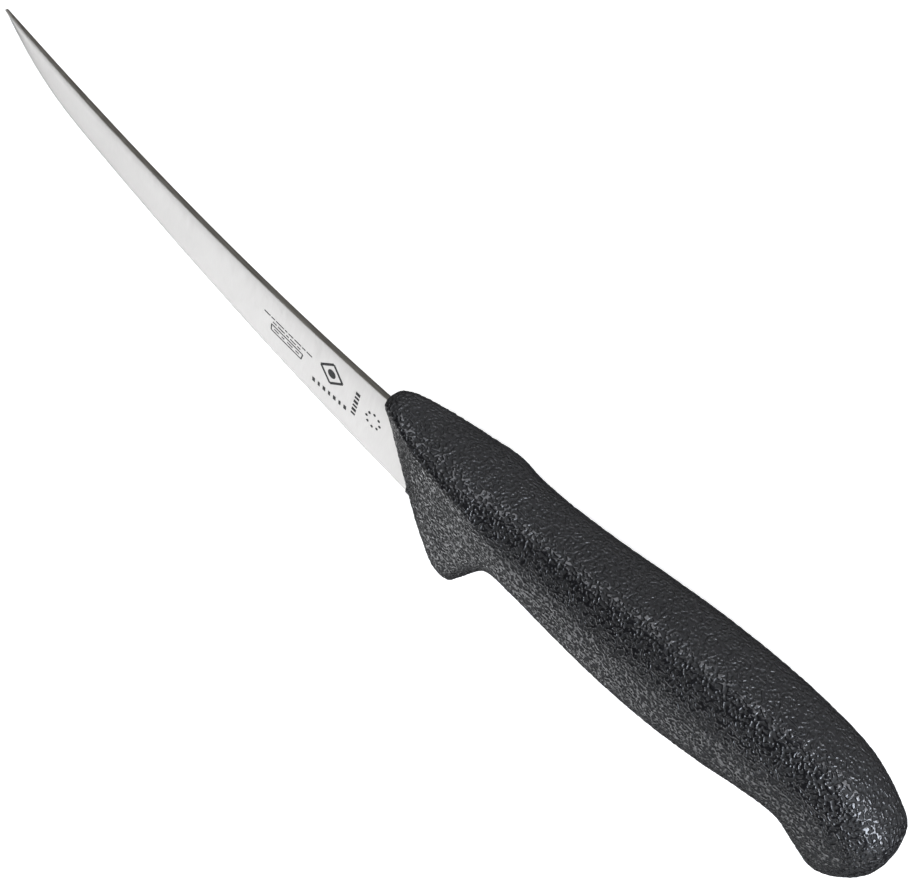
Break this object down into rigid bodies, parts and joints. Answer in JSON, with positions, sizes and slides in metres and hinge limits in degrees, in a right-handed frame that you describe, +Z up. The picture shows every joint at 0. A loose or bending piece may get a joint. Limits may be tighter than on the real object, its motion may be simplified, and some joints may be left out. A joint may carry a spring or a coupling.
{
  "type": "curved boning knife",
  "caption": "Boning knife with a narrow upswept steel blade and a grained black nylon handle with a pointed finger guard and a hooked butt.",
  "frame": {"origin": "under the middle of the knife's box, on the surface that the knife lies on", "axes": "+X from the butt of the handle to the point of the blade, +Y from the spine to the cutting edge, +Z up, square to the blade"},
  "size_m": [0.2842, 0.0594, 0.0234],
  "materials": {
    "blade_steel": "fine satin stainless steel, brushed along the spine",
    "handle_nylon": "black moulded nylon with a fine leather-like grain"
  },
  "bodies": {
    "root": {"blade": "blade_steel", "handle": "handle_nylon"}
  },
  "joints": []
}
